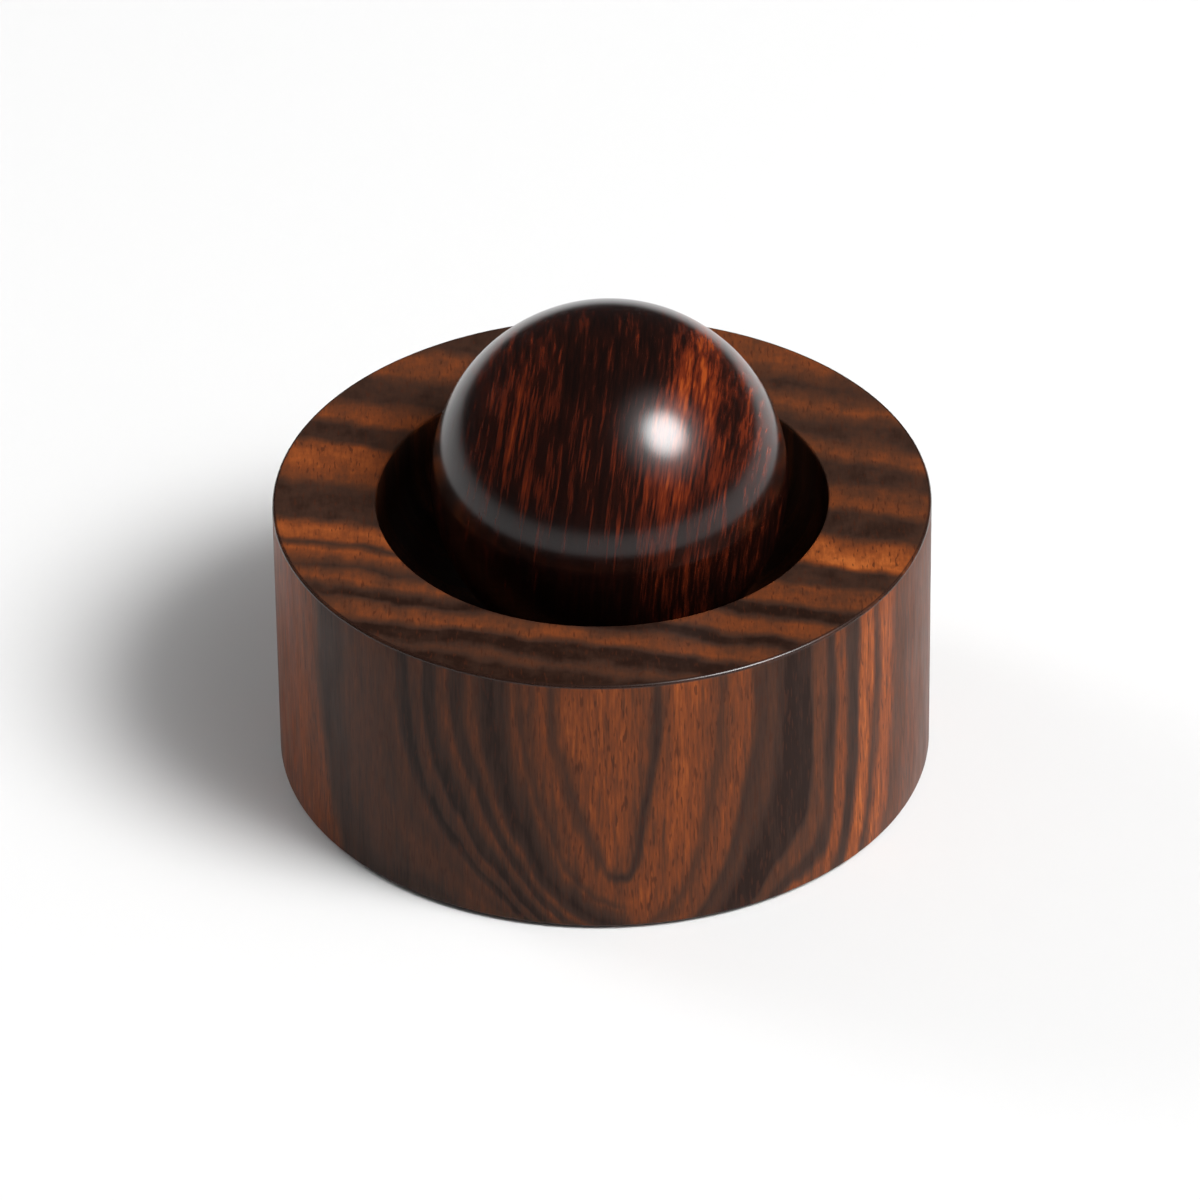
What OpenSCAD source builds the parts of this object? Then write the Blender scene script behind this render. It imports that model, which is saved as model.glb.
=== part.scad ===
// Striking ball resting in the hollow of a short turned block.
// Millimetres. +Z is up, and the origin is the centre of the surface that the pad stands on.

/* [Block] */
// Diameter of the turned block
block_d = 120; // [110:1:140]
// Height of the block
block_h = 53; // [48:0.5:64]
// Radius worked on the block's outer edges
edge_r = 0.6; // [0.3:0.1:2]

/* [Hollow] */
// Diameter of the hollow, which has a straight wall
hollow_d = 82.4; // [80:0.2:92]
// Radius of the curve that joins the wall to the flat floor
floor_curve_r = 20; // [12:0.5:20]
// Radius worked on the edge of the mouth
mouth_edge_r = 0.4; // [0.2:0.1:1]

/* [Ball] */
// Diameter of the ball
ball_d = 65.2; // [56:0.2:70]
// Height of the ball's centre above the block's top face
ball_rise = 4.1; // [-2:0.1:8]
// How far to the side of the block's axis the ball lies
ball_offset = 1.4; // [0:0.1:3]
// Running gap between the ball and the floor of the hollow
ball_gap = 0.15; // [0.05:0.05:0.3]

/* [Base pad] */
// Diameter of the pad under the block
pad_d = 100; // [80:1:102]
// Thickness of the pad
pad_t = 2; // [1.5:0.1:3]
// How far the pad stands out of its recess
pad_proud = 0.6; // [0.3:0.1:1]
// Gap round the pad in its recess
pad_gap = 0.3; // [0.1:0.1:0.5]
// Radius worked on the pad's lower edge
pad_edge_r = 0.3; // [0.1:0.05:0.3]

/* [Hidden] */
$fn = 180;

block_r = block_d / 2;
hollow_r = hollow_d / 2;
ball_r = ball_d / 2;
pad_r = pad_d / 2;

top_z = pad_proud + block_h;
ball_z = top_z + ball_rise;
floor_z = ball_z - ball_r - ball_gap;
recess_r = pad_r + pad_gap;

// How far a cutting shape runs past the face that it opens
past = 1;

// The corner of an edge at the origin, with the solid below and to the left,
// that is taken off when the edge is rounded to radius r.
module corner_waste(r) {
    translate([-r, -r]) difference() {
        square(r + past);
        circle(r);
    }
}

// Half of the hollow's section: straight wall, curved corner, flat floor.
module hollow_section() {
    curve_r = hollow_r - floor_curve_r;
    curve_z = floor_z + floor_curve_r;
    translate([0, curve_z]) square([hollow_r, top_z + past - curve_z]);
    translate([0, floor_z]) square([curve_r, floor_curve_r + past]);
    translate([curve_r, curve_z]) circle(floor_curve_r);
}

// Half of the block's section, with its hollow and the recess for the pad.
module block_section() {
    difference() {
        translate([0, pad_proud]) square([block_r, block_h]);
        intersection() {
            hollow_section();
            square([hollow_r + past, top_z + past]);
        }
        square([recess_r, pad_t]);
        translate([block_r, top_z]) corner_waste(edge_r);
        translate([block_r, pad_proud]) mirror([0, 1]) corner_waste(edge_r);
        translate([hollow_r, top_z]) mirror([1, 0]) corner_waste(mouth_edge_r);
    }
}

// Short turned cylinder with a round hollow in its top.
module block() {
    color([0.36, 0.18, 0.11])
        rotate_extrude() block_section();
}

// Loose ball that lies in the hollow and is lifted out by hand.
module ball() {
    color([0.30, 0.10, 0.06])
        translate([ball_offset, 0, ball_z]) sphere(ball_r);
}

// Disc glued into the recess, on which the block stands.
module base_pad() {
    color([0.16, 0.10, 0.07])
        rotate_extrude() difference() {
            square([pad_r, pad_t]);
            translate([pad_r, 0]) mirror([0, 1]) corner_waste(pad_edge_r);
        }
}

block();
ball();
base_pad();
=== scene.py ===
"""A polished ball lying in the hollow of a short turned block of striped rosewood."""

import math

import bmesh
import bpy
from mathutils import Matrix, Vector


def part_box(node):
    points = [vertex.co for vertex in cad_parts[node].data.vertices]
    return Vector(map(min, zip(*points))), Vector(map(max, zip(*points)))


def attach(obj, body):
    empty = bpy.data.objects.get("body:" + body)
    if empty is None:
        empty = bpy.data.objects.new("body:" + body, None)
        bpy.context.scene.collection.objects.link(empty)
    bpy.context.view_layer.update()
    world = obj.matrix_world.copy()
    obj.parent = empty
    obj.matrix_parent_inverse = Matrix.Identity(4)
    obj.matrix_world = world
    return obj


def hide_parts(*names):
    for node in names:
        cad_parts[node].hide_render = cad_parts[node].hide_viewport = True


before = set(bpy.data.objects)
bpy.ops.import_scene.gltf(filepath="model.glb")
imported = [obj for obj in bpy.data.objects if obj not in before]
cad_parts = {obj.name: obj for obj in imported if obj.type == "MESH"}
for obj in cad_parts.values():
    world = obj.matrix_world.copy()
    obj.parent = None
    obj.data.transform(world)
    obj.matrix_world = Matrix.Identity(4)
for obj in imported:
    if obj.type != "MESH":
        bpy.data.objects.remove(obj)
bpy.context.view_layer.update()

MM = 0.001
UP = Vector((0, 0, 1))

# ---------------------------------------------------------------- sizes

block_low, block_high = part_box("block")
ball_low, ball_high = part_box("ball")
pad_low, pad_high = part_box("base_pad")

BLOCK_R = block_high.x
BLOCK_TOP = block_high.z
BLOCK_FOOT = block_low.z
BALL_R = (ball_high.z - ball_low.z) / 2
BALL_CENTRE = (ball_low + ball_high) / 2
PAD_R = pad_high.x
PAD_T = pad_high.z - pad_low.z

BALL_GAP = 0.15 * MM
HOLLOW_R = 41.2 * MM
HOLLOW_FLOOR = ball_low.z - BALL_GAP
FLOOR_CURVE_R = 20 * MM
PAD_GAP = 0.3 * MM
RECESS_R = PAD_R + PAD_GAP
EDGE_R = 0.6 * MM
MOUTH_EDGE_R = 0.4 * MM
PAD_EDGE_R = 0.3 * MM

# How finely the pieces are cut
TURNING_STEPS = 192
RING_SPACING = 4 * MM
FLOOR_CURVE_STEPS = 24
EDGE_STEPS = 6
MOUTH_EDGE_STEPS = 5
PAD_EDGE_STEPS = 4
BALL_CUTS = 63

# Points closer than this are one point
SAME_POINT = 1e-6
SHARPEST_SMOOTH = math.radians(30)

# ---------------------------------------------------------------- camera

CAMERA_DISTANCE = 1.7115
CAMERA_ELEVATION = math.radians(34.675)
CAMERA_ROLL = math.radians(0.74)
CAMERA_LENS = 280
SENSOR_WIDTH = 36
AIM_POINT = Vector((-0.57 * MM, 0, 30.7 * MM))


def add_camera():
    """Long lens, above and straight in front, rolled a little."""
    back = Vector((0, -math.cos(CAMERA_ELEVATION), math.sin(CAMERA_ELEVATION)))
    data = bpy.data.cameras.new("camera")
    data.lens = CAMERA_LENS
    data.sensor_width = SENSOR_WIDTH
    data.clip_start = 0.1
    data.clip_end = 100
    camera = bpy.data.objects.new("camera", data)
    bpy.context.scene.collection.objects.link(camera)
    level = back.to_track_quat("Z", "Y").to_matrix()
    turned = level @ Matrix.Rotation(-CAMERA_ROLL, 3, "Z")
    camera.matrix_world = Matrix.Translation(AIM_POINT + back * CAMERA_DISTANCE) @ turned.to_4x4()
    bpy.context.scene.camera = camera


# ---------------------------------------------------------------- modelling


def deselect_everything():
    if bpy.context.object and bpy.context.object.mode != "OBJECT":
        bpy.ops.object.mode_set(mode="OBJECT")
    bpy.ops.object.select_all(action="DESELECT")


def pick_vertices(piece, wanted):
    """In edit mode, selects only the vertices that the test accepts."""
    bpy.ops.mesh.select_all(action="DESELECT")
    mesh = bmesh.from_edit_mesh(piece.data)
    for vertex in mesh.verts:
        vertex.select = wanted(vertex.co)
    mesh.select_flush_mode()
    bmesh.update_edit_mesh(piece.data)


def divide_long_edges(piece, longest):
    """In edit mode, cuts each edge that is longer than that into equal lengths."""
    mesh = bmesh.from_edit_mesh(piece.data)
    lengths = sorted({math.ceil(edge.calc_length() / longest) for edge in mesh.edges})
    for parts in lengths:
        if parts < 2:
            continue
        bpy.ops.mesh.select_all(action="DESELECT")
        mesh = bmesh.from_edit_mesh(piece.data)
        for edge in mesh.edges:
            edge.select = math.ceil(edge.calc_length() / longest) == parts
        mesh.select_flush_mode()
        bmesh.update_edit_mesh(piece.data)
        bpy.ops.mesh.subdivide(number_cuts=parts - 1)


def turn(name, section, rounded):
    """A solid turned about Z: its section is drawn point by point as (radius, height), the
    named corners are rounded as (corner, radius, segments), and the line is spun."""
    points = [Vector((radius, 0, height)) for radius, height in section]
    deselect_everything()
    bpy.ops.mesh.primitive_plane_add(size=MM)
    piece = bpy.context.object
    piece.name = piece.data.name = name
    bpy.ops.object.mode_set(mode="EDIT")
    bpy.ops.mesh.merge(type="CENTER")
    bpy.ops.transform.translate(value=points[0])
    for here, there in zip(points, points[1:]):
        bpy.ops.mesh.extrude_region_move(TRANSFORM_OT_translate={"value": there - here})
    for (radius, height), corner_r, segments in rounded:
        corner = Vector((radius, 0, height))
        pick_vertices(piece, lambda co: (co - corner).length < SAME_POINT)
        bpy.ops.mesh.bevel(offset=corner_r, segments=segments, affect="VERTICES")
    divide_long_edges(piece, RING_SPACING)
    bpy.ops.mesh.select_all(action="SELECT")
    bpy.ops.mesh.spin(steps=TURNING_STEPS, angle=math.tau, center=(0, 0, 0), axis=UP)
    bpy.ops.mesh.select_all(action="SELECT")
    bpy.ops.mesh.remove_doubles(threshold=SAME_POINT)
    bpy.ops.mesh.normals_make_consistent(inside=False)
    bpy.ops.object.mode_set(mode="OBJECT")
    bpy.ops.object.shade_smooth_by_angle(angle=SHARPEST_SMOOTH)
    return piece


def make_block():
    """Cylinder with a flat-floored hollow above and a shallow recess for the pad below."""
    recess_roof = PAD_T
    mouth = (HOLLOW_R, BLOCK_TOP)
    rim = (BLOCK_R, BLOCK_TOP)
    foot = (BLOCK_R, BLOCK_FOOT)
    floor_corner = (HOLLOW_R, HOLLOW_FLOOR)
    section = [
        (0, HOLLOW_FLOOR),
        floor_corner,
        mouth,
        rim,
        foot,
        (RECESS_R, BLOCK_FOOT),
        (RECESS_R, recess_roof),
        (0, recess_roof),
    ]
    rounded = [
        (floor_corner, FLOOR_CURVE_R, FLOOR_CURVE_STEPS),
        (mouth, MOUTH_EDGE_R, MOUTH_EDGE_STEPS),
        (rim, EDGE_R, EDGE_STEPS),
        (foot, EDGE_R, EDGE_STEPS),
    ]
    return turn("turned_block", section, rounded)


def make_pad():
    """Thin leather disc with a worn lower edge."""
    lower_edge = (PAD_R, 0)
    section = [(0, 0), lower_edge, (PAD_R, PAD_T), (0, PAD_T)]
    rounded = [(lower_edge, PAD_EDGE_R, PAD_EDGE_STEPS)]
    return turn("leather_pad", section, rounded)


def make_ball():
    """Cube cut into a fine grid and swelled to a ball, so that its faces are even all over."""
    deselect_everything()
    bpy.ops.mesh.primitive_cube_add(size=BALL_R)
    piece = bpy.context.object
    piece.name = piece.data.name = "polished_ball"
    bpy.ops.object.mode_set(mode="EDIT")
    bpy.ops.mesh.select_all(action="SELECT")
    bpy.ops.mesh.subdivide(number_cuts=BALL_CUTS)
    bpy.ops.transform.tosphere(value=1.0)
    mesh = bmesh.from_edit_mesh(piece.data)
    mesh.verts.ensure_lookup_table()
    growth = BALL_R / mesh.verts[0].co.length
    bpy.ops.transform.resize(value=(growth, growth, growth), center_override=(0, 0, 0))
    bpy.ops.transform.translate(value=BALL_CENTRE)
    bpy.ops.mesh.normals_make_consistent(inside=False)
    bpy.ops.object.mode_set(mode="OBJECT")
    bpy.ops.object.shade_smooth()
    return piece


# ---------------------------------------------------------------- node helpers


def add(tree, kind, inputs=None, **settings):
    """A node with its settings, and its inputs as plain values or as sockets to link from."""
    node = tree.nodes.new(kind)
    for setting, value in settings.items():
        setattr(node, setting, value)
    for key, value in (inputs or {}).items():
        if isinstance(value, bpy.types.NodeSocket):
            tree.links.new(value, node.inputs[key])
        else:
            node.inputs[key].default_value = value
    return node


def maths(tree, operation, *values):
    node = add(tree, "ShaderNodeMath", dict(enumerate(values)), operation=operation)
    return node.outputs[0]


def vector_maths(tree, operation, *values):
    node = add(tree, "ShaderNodeVectorMath", dict(enumerate(values)), operation=operation)
    return node.outputs["Value" if operation == "LENGTH" else "Vector"]


def between(tree, value, low, high, to_low=0.0, to_high=1.0, smooth=True):
    """A value carried from low..high to to_low..to_high, and held at both ends."""
    inputs = {"Value": value, "From Min": low, "From Max": high}
    inputs.update({"To Min": to_low, "To Max": to_high})
    kind = "SMOOTHSTEP" if smooth else "LINEAR"
    return add(tree, "ShaderNodeMapRange", inputs, interpolation_type=kind).outputs["Result"]


def blend_values(tree, share, a, b):
    node = add(tree, "ShaderNodeMix", {"Factor": share, "A": a, "B": b}, data_type="FLOAT")
    return node.outputs["Result"]


def blend_colours(tree, share, a, b):
    """Inputs 6 and 7 and output 2 of the mix node are its colour sockets."""
    node = add(tree, "ShaderNodeMix", {"Factor": share, 6: a, 7: b}, data_type="RGBA")
    return node.outputs[2]


def noise(tree, vector, scale, detail, roughness=0.5):
    inputs = {"Vector": vector, "Scale": scale, "Detail": detail, "Roughness": roughness}
    return add(tree, "ShaderNodeTexNoise", inputs, noise_dimensions="3D").outputs["Fac"]


def in_millimetres(tree, place):
    inputs = {0: place, "Scale": 1 / MM}
    return add(tree, "ShaderNodeVectorMath", inputs, operation="SCALE").outputs["Vector"]


def in_cells(tree, place, across, along):
    """Place counted in cells of one size across the fibre and another along it, which is Z."""
    cell = add(tree, "ShaderNodeCombineXYZ", {"X": across, "Y": across, "Z": along})
    return vector_maths(tree, "DIVIDE", place, cell.outputs["Vector"])


def ramp(tree, value, stops):
    """A colour ramp whose stops are (position, tone) or (position, colour)."""
    node = add(tree, "ShaderNodeValToRGB", {"Fac": value})
    elements = node.color_ramp.elements
    while len(elements) > 1:
        elements.remove(elements[-1])
    for index, (position, tone) in enumerate(stops):
        element = elements[0] if index == 0 else elements.new(position)
        element.position = position
        colour = (tone, tone, tone) if isinstance(tone, (int, float)) else tone
        element.color = (*colour, 1.0)
    return node.outputs["Color"]


def new_group(name, inputs, outputs):
    """A shader node group with inputs given as name: (kind, default) and outputs as name: kind."""
    group = bpy.data.node_groups.new(name, "ShaderNodeTree")
    for socket, (kind, default) in inputs.items():
        made = group.interface.new_socket(socket, in_out="INPUT", socket_type=kind)
        if default is not None:
            made.default_value = default
    for socket, kind in outputs.items():
        group.interface.new_socket(socket, in_out="OUTPUT", socket_type=kind)
    entry = group.nodes.new("NodeGroupInput")
    leave = group.nodes.new("NodeGroupOutput")
    return group, entry.outputs, leave.inputs


def use_group(tree, group, inputs):
    return add(tree, "ShaderNodeGroup", inputs, node_tree=group).outputs


def new_material(name):
    material = bpy.data.materials.new(name)
    material.use_nodes = True
    tree = material.node_tree
    tree.nodes.clear()
    shader = add(tree, "ShaderNodeBsdfPrincipled")
    output = add(tree, "ShaderNodeOutputMaterial")
    tree.links.new(shader.outputs["BSDF"], output.inputs["Surface"])
    place = add(tree, "ShaderNodeTexCoord").outputs["Object"]
    return material, tree, shader, place


# ---------------------------------------------------------------- shared wood effects

FLOAT = "NodeSocketFloat"
VECTOR = "NodeSocketVector"

# How softly an open pore ends, as a share of the noise that makes it
PORE_SOFTNESS = 0.12


def make_pore_group():
    """Open pores: fine dashes along the fibre, which is the incoming Z, in millimetres."""
    inputs = {
        "Vector": (VECTOR, None),
        "Length": (FLOAT, 4.0),
        "Width": (FLOAT, 0.3),
        "Share": (FLOAT, 0.3),
    }
    group, entry, leave = new_group("open pores", inputs, {"Pore": FLOAT})
    place = in_cells(group, entry["Vector"], entry["Width"], entry["Length"])
    cell = noise(group, place, 1.0, detail=1.0, roughness=0.4)
    start = maths(group, "SUBTRACT", 1.0, entry["Share"])
    full = maths(group, "ADD", start, PORE_SOFTNESS)
    group.links.new(between(group, cell, start, full), leave["Pore"])
    return group


def make_fibre_group():
    """Soft streaks along the fibre, which is the incoming Z, from -1 to 1."""
    inputs = {"Vector": (VECTOR, None), "Length": (FLOAT, 30.0), "Width": (FLOAT, 1.0)}
    group, entry, leave = new_group("fibre streaks", inputs, {"Streak": FLOAT})
    place = in_cells(group, entry["Vector"], entry["Width"], entry["Length"])
    cell = noise(group, place, 1.0, detail=3.0, roughness=0.6)
    streak = between(group, cell, 0.25, 0.75, -1.0, 1.0, smooth=False)
    group.links.new(streak, leave["Streak"])
    return group


def make_wander_group():
    """Slow wander of the growth lines, from -Reach to Reach millimetres."""
    inputs = {
        "Vector": (VECTOR, None),
        "Across": (FLOAT, 9.0),
        "Along": (FLOAT, 30.0),
        "Reach": (FLOAT, 1.0),
    }
    group, entry, leave = new_group("growth wander", inputs, {"Wander": FLOAT})
    place = in_cells(group, entry["Vector"], entry["Across"], entry["Along"])
    cell = noise(group, place, 1.0, detail=2.0)
    wander = between(group, cell, 0.28, 0.72, -1.0, 1.0, smooth=False)
    group.links.new(maths(group, "MULTIPLY", wander, entry["Reach"]), leave["Wander"])
    return group


PORES = make_pore_group()
FIBRE = make_fibre_group()
WANDER = make_wander_group()


def pores(tree, place, length, width, share):
    inputs = {"Vector": place, "Length": length, "Width": width, "Share": share}
    return use_group(tree, PORES, inputs)["Pore"]


def streaks(tree, place, length, width):
    inputs = {"Vector": place, "Length": length, "Width": width}
    return use_group(tree, FIBRE, inputs)["Streak"]


def wandering(tree, place, line, wanders):
    """A growth line with its wanders added, each (size across, size along, reach) in mm."""
    for across, along, reach in wanders:
        inputs = {"Vector": place, "Across": across, "Along": along, "Reach": reach}
        line = maths(tree, "ADD", line, use_group(tree, WANDER, inputs)["Wander"])
    return line


def growth_bands(tree, depth, bands):
    """Tone of the growth bands at a depth in millimetres, from (depth, tone) pairs."""
    first, last = bands[0][0], bands[-1][0]
    share = between(tree, depth, first, last, smooth=False)
    return ramp(tree, share, [((mm - first) / (last - first), tone) for mm, tone in bands])


# ---------------------------------------------------------------- block wood

# Tones of the growth bands, from black heartwood to bright orange
BLACK = 0.02
DARK = 0.13
UMBER = 0.26
BROWN = 0.38
RUST = 0.50
COPPER = 0.62
ORANGE = 0.74
BRIGHT = 0.88

# Growth bands round the side, from the middle of the front: mm along the top edge, tone
LEFT_FLANK = [
    (6.4, ORANGE), (7.8, RUST), (8.7, UMBER), (9.5, BROWN), (10.6, COPPER),
    (14.0, RUST), (15.4, UMBER), (16.4, RUST), (17.8, UMBER), (19.2, DARK), (20.8, BLACK),
    (23.0, DARK), (24.4, RUST), (25.4, BROWN), (26.3, DARK), (27.8, DARK), (28.8, RUST),
    (30.2, BROWN), (31.4, DARK), (33.6, BLACK), (34.8, BROWN), (37.0, UMBER), (38.0, BLACK),
    (39.4, DARK), (40.6, BROWN), (44.0, UMBER), (47.5, BROWN), (53.5, UMBER), (55.5, DARK),
    (60.0, DARK), (63.0, RUST), (69.0, COPPER),
]
RIGHT_FLANK = [
    (1.8, COPPER), (3.4, ORANGE), (6.4, COPPER), (7.9, RUST), (8.7, DARK),
    (9.2, DARK), (10.0, COPPER), (14.0, ORANGE), (19.0, COPPER), (20.5, BROWN), (22.0, RUST),
    (25.0, COPPER), (26.8, RUST), (28.2, DARK), (30.8, UMBER), (34.2, BLACK), (39.6, BLACK),
    (40.8, BROWN), (43.2, BROWN), (44.4, DARK), (45.6, DARK), (46.8, COPPER), (48.6, COPPER),
    (49.9, DARK), (51.4, DARK), (52.8, BRIGHT), (55.2, BRIGHT), (57.0, UMBER), (59.2, BRIGHT),
    (61.8, ORANGE), (64.5, BROWN), (70.0, RUST),
]

# Growth bands across the top face, front to back: distance behind the axis in mm, tone
TOP_LEFT = [
    (-57.5, BLACK), (-55.0, UMBER), (-52.0, BLACK), (-49.0, BLACK),
    (-46.5, RUST), (-43.5, BROWN), (-41.5, BLACK), (-39.8, DARK), (-37.2, RUST),
    (-35.0, BROWN), (-33.4, DARK), (-29.0, COPPER), (-26.9, DARK),
    (-25.4, COPPER), (-22.5, ORANGE), (-20.5, RUST), (-18.5, DARK), (-14.0, DARK),
    (-9.0, DARK), (-6.0, RUST), (-1.0, COPPER), (2.0, ORANGE), (5.0, COPPER), (7.5, DARK),
    (12.0, DARK), (14.5, COPPER), (19.0, RUST), (22.5, DARK), (28.5, DARK), (33.0, RUST),
    (38.5, RUST), (42.0, DARK),
]
TOP_RIGHT = [
    (-57.5, BLACK), (-54.5, UMBER), (-52.0, BLACK), (-48.5, BLACK),
    (-46.0, RUST), (-42.5, BROWN), (-40.5, BLACK), (-39.0, BLACK), (-37.0, RUST),
    (-33.5, RUST), (-31.0, BLACK), (-28.5, BLACK), (-26.0, RUST), (-21.0, RUST),
    (-19.0, DARK), (-14.5, DARK), (-12.0, BRIGHT), (-7.0, ORANGE), (-4.5, COPPER),
    (-1.5, DARK), (4.5, DARK), (7.0, RUST), (13.0, BROWN), (16.0, DARK), (20.5, DARK),
    (23.5, RUST), (26.5, BROWN), (30.0, DARK), (33.0, DARK), (38.0, RUST), (45.0, DARK),
    (52.5, RUST),
]

BLOCK_PALETTE = [
    (0.00, (0.016, 0.0070, 0.0045)),
    (0.15, (0.037, 0.0175, 0.0115)),
    (0.38, (0.074, 0.0255, 0.0120)),
    (0.62, (0.150, 0.0380, 0.0115)),
    (0.80, (0.232, 0.0570, 0.0140)),
    (1.00, (0.360, 0.0950, 0.0210)),
]

PORE_COLOUR = (0.045, 0.014, 0.007, 1)
# Painted shade: the dark line along the rounded top edge
EDGE_SHADE_COLOUR = (0.02, 0.008, 0.005, 1)
# Painted shade: the darkening inside the hollow
HOLLOW_SHADE_COLOUR = (0.012, 0.006, 0.004, 1)

# The growth lines of the side turn in towards the middle of the front: how far they have
# turned in, at which depth below the top face, both in mm, and the power they turn with
INNER_TURN = (3.1, 31.0, 2.0)
LEFT_TURN = (16.3, 47.5, 3.0)
RIGHT_TURN = (11.4, 47.5, 2.7)
ARCH_END = (9.0, 16.0, 1.6)

# Depth in mm at which the arches start to close
ARCH_END_START = 34.0

# The middle of the arches drifts to the right with the square of the depth
ARCH_DRIFT = 0.0012

# Half of the width over which the left and right bands meet, in mm
MEETING = 2.5

# Changes with the distance round the side from the middle of the front:
# from this many mm to that many, and the values there
OUTER_TURN_SHARE = (2.0, 30.0, 0.0, 1.0)
LEFT_TURN_SHARE = (33.0, 56.0, 1.0, 0.1)
RIGHT_TURN_SHARE = (26.0, 44.0, 1.0, 0.4)
BACK_SHARE = (84.0, 98.0, 0.0, 1.0)
# Painted shade: the side's wood is darkened, most in the middle of the front
SIDE_PAINTED_SHADE = (5.0, 30.0, 0.84, 0.91)

# Wanders of the growth lines: size across, size along and reach, in mm
SIDE_WANDERS = [(9.0, 34.0, 0.9), (2.2, 13.0, 0.35)]
BACK_WANDERS = [(9.0, 60.0, 1.2)]
TOP_WANDERS = [(12.0, 34.0, 1.2), (4.0, 13.0, 0.3)]

# The bands of the top face go this far forwards for each mm to the right
TOP_SLOPE = 0.25

# Half of the width over which the left and right bands of the top face meet, in mm
TOP_MEETING = 15.0

# The unseen bands at the back: how many to a mm and how uneven, and from this value to that
# one, the tones there
BACK_BANDS = {"Scale": 0.17, "Detail": 3.0}
BACK_TONES = (0.34, 0.62, 0.08, 0.7)

# From this many mm below the top face to that many, the side's figure gives way to the top's
TOP_STARTS = (0.7, 0.3)

# The stripe of the rounded edge, where the wood is painted darker as shade and polished harder: how
# far from the corner it starts and is full, in mm
EDGE_SHADE_AND_POLISH_STRIPE = (0.75, 0.45)

# Painted shade in the hollow, darker than the wood round it: how far outside its wall, and how far
# below the top face, it starts and is full, in mm
HOLLOW_SHADE_STRIPE = (0.6, 0.2)
HOLLOW_SHADE_DEPTHS = (0.3, 1.2)

# How much streaks change the tone: in proportion to it, at least, and on the top face
LIVELY_SLOPE = 0.22
LIVELY_LEAST = 0.05
LIVELY_TOP = 0.6
PATCHINESS = 0.06

# How strongly each of these covers the wood under it
PORE_COVER = 0.7
EDGE_SHADE_COVER = 0.75
HOLLOW_SHADE_COVER = 0.7

# The satin finish: from this polish to that one, the roughness there
SATIN_ROUGHNESS = (0.3, 0.7, 0.34, 0.44)
SATIN_SHINE = 0.10
WORN_EDGE_ROUGHNESS = 0.26
WORN_EDGE_COAT = 0.64


def turn_in(tree, below, reach, depth, power):
    """How far a growth line has turned in at a depth: reach millimetres at the depth given."""
    turned = maths(tree, "POWER", maths(tree, "DIVIDE", below, depth), power)
    return maths(tree, "MULTIPLY", turned, reach)


def arc_from_middle(tree, across, along, below):
    """Millimetres round the side from the middle of the arches, less than zero on the left."""
    turned = maths(tree, "ARCCOSINE", maths(tree, "DIVIDE", along, -BLOCK_R / MM))
    arc = maths(tree, "MULTIPLY", turned, BLOCK_R / MM)
    arc = maths(tree, "MULTIPLY", arc, maths(tree, "SIGN", across))
    drift = maths(tree, "MULTIPLY", maths(tree, "MULTIPLY", below, below), ARCH_DRIFT)
    return maths(tree, "SUBTRACT", arc, drift)


def side_bend(tree, arc, right, below):
    """How far the growth lines have turned in, on the left and on the right."""
    outer = between(tree, arc, *OUTER_TURN_SHARE)
    inner_turn = turn_in(tree, below, *INNER_TURN)
    left_turn = blend_values(tree, outer, inner_turn, turn_in(tree, below, *LEFT_TURN))
    left_turn = maths(tree, "MULTIPLY", left_turn, between(tree, arc, *LEFT_TURN_SHARE))
    right_turn = blend_values(tree, outer, inner_turn, turn_in(tree, below, *RIGHT_TURN))
    right_turn = maths(tree, "MULTIPLY", right_turn, between(tree, arc, *RIGHT_TURN_SHARE))
    return blend_values(tree, right, left_turn, right_turn)


def side_figure(tree, place, across, along, below):
    """Growth bands on the side. The layers lie nearly flat to the front, and they turn in
    towards its middle with depth, so they make nested round-ended arches there."""
    arc = arc_from_middle(tree, across, along, below)
    right = between(tree, arc, -MEETING, MEETING)
    arc = maths(tree, "ABSOLUTE", arc)
    bend = side_bend(tree, arc, right, below)

    lowest = maths(tree, "MAXIMUM", maths(tree, "SUBTRACT", below, ARCH_END_START), 0.0)
    round_end = turn_in(tree, lowest, *ARCH_END)
    squares = maths(tree, "MULTIPLY_ADD", round_end, round_end, maths(tree, "MULTIPLY", arc, arc))
    line = maths(tree, "ADD", maths(tree, "SQRT", squares), bend)
    line = wandering(tree, place, line, SIDE_WANDERS)
    left_tone = growth_bands(tree, line, LEFT_FLANK)
    right_tone = growth_bands(tree, line, RIGHT_FLANK)
    front = blend_values(tree, right, left_tone, right_tone)

    back = back_bands(tree, wandering(tree, place, along, BACK_WANDERS))
    tone = blend_values(tree, between(tree, arc, *BACK_SHARE), front, back)
    # Painted shade darkens the side, most in the middle of the front
    return maths(tree, "MULTIPLY", tone, between(tree, arc, *SIDE_PAINTED_SHADE))


def back_bands(tree, depth):
    """Growth bands of uneven width along a depth in millimetres."""
    inputs = {"W": depth, **BACK_BANDS}
    bands = add(tree, "ShaderNodeTexNoise", inputs, noise_dimensions="1D").outputs["Fac"]
    return between(tree, bands, *BACK_TONES)


def top_figure(tree, place, across, along):
    """Growth bands on the top face, which cross it from left to right with a slant."""
    depth = maths(tree, "MULTIPLY_ADD", across, TOP_SLOPE, along)
    depth = wandering(tree, place, depth, TOP_WANDERS)
    right = between(tree, across, -TOP_MEETING, TOP_MEETING)
    left_tone = growth_bands(tree, depth, TOP_LEFT)
    right_tone = growth_bands(tree, depth, TOP_RIGHT)
    return blend_values(tree, right, left_tone, right_tone)


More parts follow.
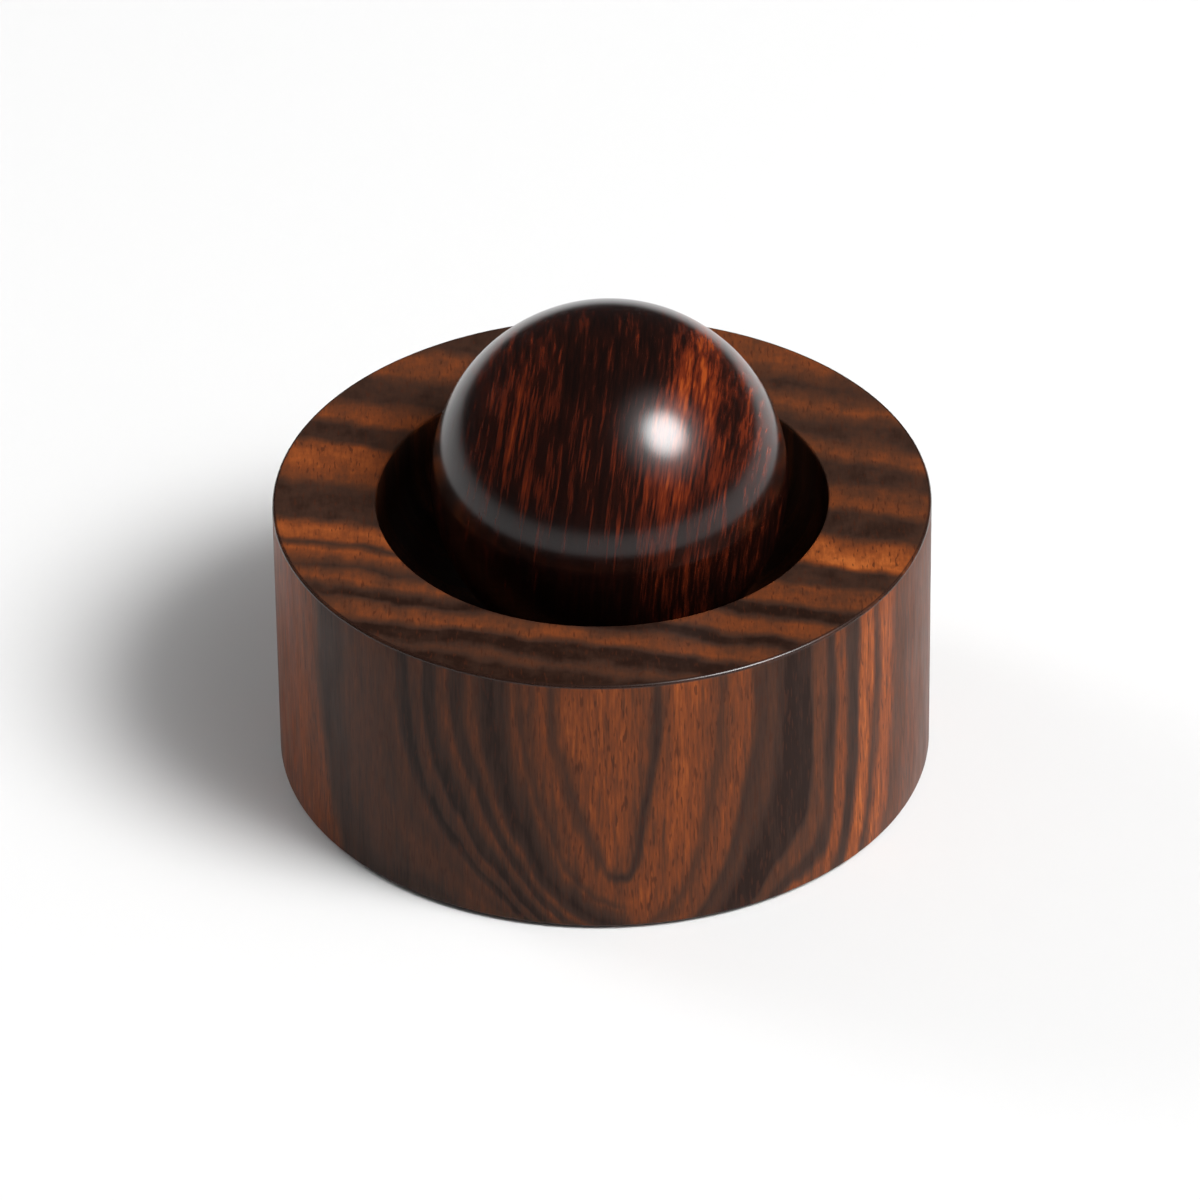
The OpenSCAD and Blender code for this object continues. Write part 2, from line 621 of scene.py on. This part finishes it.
def rounded_edge_shade_and_polish(tree, radius, below):
    """The rounded edge between the top face and the side: a mask for painted shade, a dark line,
    and for a harder polish.
    """
    start, full = EDGE_SHADE_AND_POLISH_STRIPE
    outer = between(tree, radius, BLOCK_R / MM - start, BLOCK_R / MM - full)
    return maths(tree, "MULTIPLY", outer, between(tree, below, start, full))


def hollow_shade(tree, radius, below):
    """The wall and floor of the hollow, where the wood is painted darker as shade."""
    start, full = HOLLOW_SHADE_STRIPE
    within = between(tree, radius, HOLLOW_R / MM + start, HOLLOW_R / MM + full)
    return maths(tree, "MULTIPLY", within, between(tree, below, *HOLLOW_SHADE_DEPTHS))


def make_block_wood():
    material, tree, shader, place = new_material("striped rosewood, satin")
    place = in_millimetres(tree, place)
    parts = add(tree, "ShaderNodeSeparateXYZ", {"Vector": place}).outputs
    across, along, height = parts["X"], parts["Y"], parts["Z"]
    below = maths(tree, "MAXIMUM", maths(tree, "SUBTRACT", BLOCK_TOP / MM, height), 0.0)
    radius = vector_maths(tree, "LENGTH", vector_maths(tree, "MULTIPLY", place, (1, 1, 0)))
    is_top = between(tree, below, *TOP_STARTS)
    side = side_figure(tree, place, across, along, below)
    figure = blend_values(tree, is_top, side, top_figure(tree, place, across, along))

    # On the top face the cut vessels smear from front to back
    smeared = add(tree, "ShaderNodeCombineXYZ", {"X": across, "Y": height, "Z": along})
    smeared = smeared.outputs["Vector"]
    patch = streaks(tree, place, length=40.0, width=5.0)
    side_streak = streaks(tree, place, length=16.0, width=1.2)
    side_fine = streaks(tree, place, length=5.0, width=0.42)
    top_fine = streaks(tree, smeared, length=2.6, width=0.55)
    streak = blend_values(tree, is_top, side_streak, patch)
    fine = blend_values(tree, is_top, side_fine, top_fine)

    # Bright wood is livelier than dark wood, and the side livelier than the top face
    lively = maths(tree, "MULTIPLY_ADD", figure, LIVELY_SLOPE, LIVELY_LEAST)
    lively = maths(tree, "MULTIPLY", lively, blend_values(tree, is_top, 1.0, LIVELY_TOP))
    tone = maths(tree, "MULTIPLY_ADD", streak, lively, figure)
    tone = maths(tree, "MULTIPLY_ADD", fine, lively, tone)
    tone = maths(tree, "MULTIPLY_ADD", patch, PATCHINESS, tone)
    colour = ramp(tree, tone, BLOCK_PALETTE)

    side_pore = pores(tree, place, length=3.2, width=0.42, share=0.42)
    top_pore = pores(tree, smeared, length=2.2, width=0.5, share=0.40)
    pore = blend_values(tree, is_top, side_pore, top_pore)
    pore = maths(tree, "MULTIPLY", pore, PORE_COVER)
    colour = blend_colours(tree, pore, colour, PORE_COLOUR)

    edge = rounded_edge_shade_and_polish(tree, radius, below)
    # Painted shade: the rounded edge is darkened into a dark line
    edge_shade = maths(tree, "MULTIPLY", edge, EDGE_SHADE_COVER)
    colour = blend_colours(tree, edge_shade, colour, EDGE_SHADE_COLOUR)
    # Painted shade: the wall and floor of the hollow are darkened
    inside = maths(tree, "MULTIPLY", hollow_shade(tree, radius, below), HOLLOW_SHADE_COVER)
    colour = blend_colours(tree, inside, colour, HOLLOW_SHADE_COLOUR)
    tree.links.new(colour, shader.inputs["Base Color"])

    # Satin all over, with a harder polish on the edge, where hands have rubbed it
    polish = noise(tree, in_cells(tree, place, 3.0, 12.0), 1.0, detail=3.0)
    roughness = between(tree, polish, *SATIN_ROUGHNESS, smooth=False)
    roughness = blend_values(tree, edge, roughness, WORN_EDGE_ROUGHNESS)
    tree.links.new(roughness, shader.inputs["Roughness"])
    shader.inputs["Specular IOR Level"].default_value = SATIN_SHINE
    coat = maths(tree, "MULTIPLY", edge, WORN_EDGE_COAT)
    tree.links.new(coat, shader.inputs["Coat Weight"])
    shader.inputs["Coat Roughness"].default_value = WORN_EDGE_ROUGHNESS

    relief = maths(tree, "MULTIPLY_ADD", pore, -0.8, fine)
    bump_inputs = {"Height": relief, "Strength": 0.12, "Distance": 0.02 * MM}
    bump = add(tree, "ShaderNodeBump", bump_inputs)
    tree.links.new(bump.outputs["Normal"], shader.inputs["Normal"])
    return material


# ---------------------------------------------------------------- ball wood

BALL_PALETTE = [
    (0.00, (0.005, 0.0018, 0.0014)),
    (0.34, (0.012, 0.0028, 0.0017)),
    (0.56, (0.046, 0.0070, 0.0028)),
    (0.78, (0.115, 0.0160, 0.0042)),
    (1.00, (0.240, 0.0420, 0.0075)),
]

# Share of red streaks in the layers of the ball, from its left to its right, in mm
BALL_LAYERS = [
    (-33.0, 0.12), (-27.0, 0.26), (-22.0, 0.43), (-17.0, 0.42), (-12.0, 0.40), (-8.0, 0.30),
    (-2.0, 0.25), (3.0, 0.28), (8.0, 0.33), (11.5, 0.48), (14.0, 0.66), (17.5, 0.62),
    (20.0, 0.42), (26.0, 0.48), (33.0, 0.42),
]

# The fibres of the ball bend round a line across it, behind and below its middle, in mm
FIBRE_BEND_BEHIND = 9.0
FIBRE_BEND_BELOW = 3.0
FIBRE_BEND_R = 42.0

# The fibres lean to the right along their run: from this many mm to that many, and the lean
FIBRE_LEAN = (-10.0, 60.0, 0.0, 7.0)

# The layers are this much closer together in depth than the streaks are across
LAYER_CLOSENESS = 0.25

# Shift of the layers to the left, in mm, and their wanders
LAYER_SHIFT = 5.0
BALL_WANDERS = [(9.0, 26.0, 4.0)]

# More or fewer red streaks with height on the ball, which paints shade and light by height, darker
# low on it and at the very top: from this many mm above its middle to that many, and the change
# there
BALL_PAINTED_SHADES = [
    (-12.0, 26.0, -0.28, 0.07),
    (-14.0, -2.0, 0.12, 0.0),
    (26.0, 31.0, 0.0, -0.16),
]


def bent_fibres(tree, place):
    """Coordinates whose Z runs along fibres that bend back over the top of the ball."""
    parts = add(tree, "ShaderNodeSeparateXYZ", {"Vector": place}).outputs
    across, along, height = parts["X"], parts["Y"], parts["Z"]
    forward = maths(tree, "SUBTRACT", FIBRE_BEND_BEHIND, along)
    upward = maths(tree, "ADD", height, FIBRE_BEND_BELOW)
    run = maths(tree, "MULTIPLY", maths(tree, "ARCTAN2", upward, forward), FIBRE_BEND_R)
    squares = maths(tree, "MULTIPLY_ADD", forward, forward, maths(tree, "MULTIPLY", upward, upward))
    layer = maths(tree, "MULTIPLY", maths(tree, "SQRT", squares), LAYER_CLOSENESS)
    across = maths(tree, "SUBTRACT", across, between(tree, run, *FIBRE_LEAN))
    made = add(tree, "ShaderNodeCombineXYZ", {"X": across, "Y": layer, "Z": run})
    return made.outputs["Vector"], across


def make_ball_wood():
    material, tree, shader, place = new_material("red-black rosewood, gloss lacquer")
    place = in_millimetres(tree, vector_maths(tree, "SUBTRACT", place, tuple(BALL_CENTRE)))
    height = add(tree, "ShaderNodeSeparateXYZ", {"Vector": place}).outputs["Z"]
    place, across = bent_fibres(tree, place)

    layer = wandering(tree, place, across, BALL_WANDERS)
    share = growth_bands(tree, maths(tree, "ADD", layer, LAYER_SHIFT), BALL_LAYERS)
    # Painted shade and light: the ball's tone changes with height
    for shade in BALL_PAINTED_SHADES:
        share = maths(tree, "ADD", share, between(tree, height, *shade))
    streak = streaks(tree, place, length=7.5, width=0.52)
    broad = streaks(tree, place, length=22.0, width=1.7)
    tone = maths(tree, "MULTIPLY_ADD", streak, 0.34, share)
    tone = maths(tree, "MULTIPLY_ADD", broad, 0.32, tone)
    tree.links.new(ramp(tree, tone, BALL_PALETTE), shader.inputs["Base Color"])

    # The wood itself is matt, and the lacquer over it gives all the gloss
    shader.inputs["Roughness"].default_value = 0.5
    shader.inputs["Specular IOR Level"].default_value = 0.0
    shader.inputs["Coat Weight"].default_value = 1.0
    shader.inputs["Coat Roughness"].default_value = 0.17
    shader.inputs["Coat IOR"].default_value = 1.43
    return material


# ---------------------------------------------------------------- leather

LEATHER_PALETTE = [
    (0.3, (0.020, 0.010, 0.006)),
    (0.5, (0.050, 0.024, 0.013)),
    (0.7, (0.095, 0.047, 0.026)),
]


def make_leather():
    material, tree, shader, place = new_material("brown leather, rough side out")
    place = in_millimetres(tree, place)
    nap = noise(tree, place, 2.2, detail=5.0, roughness=0.65)
    patches = noise(tree, place, 0.08, detail=3.0)
    tone = maths(tree, "MULTIPLY_ADD", patches, 0.5, maths(tree, "MULTIPLY", nap, 0.5))
    tree.links.new(ramp(tree, tone, LEATHER_PALETTE), shader.inputs["Base Color"])
    shader.inputs["Roughness"].default_value = 0.85
    bump = add(tree, "ShaderNodeBump", {"Height": nap, "Strength": 0.5, "Distance": 0.1 * MM})
    tree.links.new(bump.outputs["Normal"], shader.inputs["Normal"])
    return material


# ---------------------------------------------------------------- stage

FLOOR_SIZE = 60
FLOOR_COLOUR = (0.70, 0.70, 0.70, 1)
BLACK_FLOOR = (0, 0, 0, 1)

# In reflections the floor fades: from this many metres to that many, and its strength there
FLOOR_FADE = (0.25, 2.0, 1.0, 0.12)

KEY_DIRECTION = Vector((0.569, -0.332, 0.752)).normalized()
KEY_DISTANCE = 5.0
KEY_R = 3.4
KEY_POWER = 3100

FILL_DIRECTION = Vector((-0.80, 0.50, 0.33)).normalized()
FILL_DISTANCE = 4.0
FILL_R = 1.2
FILL_POWER = 170

# Glow of a light from its rim inwards: from this far from its middle to that far, as a share
# of its width, and the glow there
KEY_CORE = (0.23, 0.08, 0.0, 1.0)
KEY_HALO = (0.5, 0.08, 0.0, 0.09)
FILL_GLOW = (0.5, 0.1, 0.0, 1.0)

STUDIO_ON_MATT = 0.18
STUDIO_IN_GLOSS = 0.04
STUDIO_TO_CAMERA = 1.0


def add_floor():
    """Pale floor. In reflections it fades with distance, as it does under a soft studio light."""
    deselect_everything()
    bpy.ops.mesh.primitive_plane_add(size=FLOOR_SIZE)
    floor = bpy.context.object
    floor.name = "floor"
    material, tree, shader, place = new_material("pale floor")
    faded = between(tree, vector_maths(tree, "LENGTH", place), *FLOOR_FADE)
    ray = add(tree, "ShaderNodeLightPath").outputs
    strength = blend_values(tree, ray["Is Glossy Ray"], 1.0, faded)
    colour = blend_colours(tree, strength, BLACK_FLOOR, FLOOR_COLOUR)
    tree.links.new(colour, shader.inputs["Base Color"])
    shader.inputs["Roughness"].default_value = 0.9
    floor.data.materials.append(material)


def add_disc_light(name, direction, distance, radius, power):
    """Round light that faces the ball. Gives the light, its node tree, and the distance from
    its middle as a share of its width."""
    data = bpy.data.lights.new(name, "AREA")
    data.shape = "DISK"
    data.size = 2 * radius
    data.energy = power
    data.use_nodes = True
    tree = data.node_tree
    tree.nodes.clear()
    place = add(tree, "ShaderNodeNewGeometry").outputs["Parametric"]
    spread = vector_maths(tree, "LENGTH", vector_maths(tree, "SUBTRACT", place, (0.5, 0.5, 0)))
    light = bpy.data.objects.new(name, data)
    bpy.context.scene.collection.objects.link(light)
    light.location = BALL_CENTRE + direction * distance
    light.rotation_euler = direction.to_track_quat("Z", "Y").to_euler()
    return light, tree, spread


def set_glow(tree, glow):
    emission = add(tree, "ShaderNodeEmission", {"Strength": glow})
    output = add(tree, "ShaderNodeOutputLight")
    tree.links.new(emission.outputs["Emission"], output.inputs["Surface"])


def add_lights():
    """Key with a bright middle and a faint wide halo, and a soft fill behind on the left that
    doesn't show in the lacquer."""
    key, tree, spread = add_disc_light("key", KEY_DIRECTION, KEY_DISTANCE, KEY_R, KEY_POWER)
    halo = between(tree, spread, *KEY_HALO)
    set_glow(tree, maths(tree, "ADD", between(tree, spread, *KEY_CORE), halo))
    fill, tree, spread = add_disc_light("fill", FILL_DIRECTION, FILL_DISTANCE, FILL_R, FILL_POWER)
    set_glow(tree, between(tree, spread, *FILL_GLOW))
    fill.visible_glossy = False


def add_studio():
    """Dim studio in reflections, softly lit for matt surfaces, white straight to the camera."""
    world = bpy.data.worlds.new("studio")
    world.use_nodes = True
    tree = world.node_tree
    tree.nodes.clear()
    ray = add(tree, "ShaderNodeLightPath").outputs
    strength = blend_values(tree, ray["Is Glossy Ray"], STUDIO_ON_MATT, STUDIO_IN_GLOSS)
    strength = blend_values(tree, ray["Is Camera Ray"], strength, STUDIO_TO_CAMERA)
    sky = add(tree, "ShaderNodeBackground", {"Color": (1, 1, 1, 1), "Strength": strength})
    output = add(tree, "ShaderNodeOutputWorld")
    tree.links.new(sky.outputs["Background"], output.inputs["Surface"])
    bpy.context.scene.world = world
    bpy.context.scene.view_settings.view_transform = "Standard"


# ---------------------------------------------------------------- assembly


def finish_piece(piece, material, body, node):
    piece.data.materials.append(material)
    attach(piece, body)
    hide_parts(node)


add_camera()
add_floor()
add_lights()
add_studio()

finish_piece(make_block(), make_block_wood(), "block", "block")
finish_piece(make_ball(), make_ball_wood(), "ball", "ball")
finish_piece(make_pad(), make_leather(), "block", "base_pad")
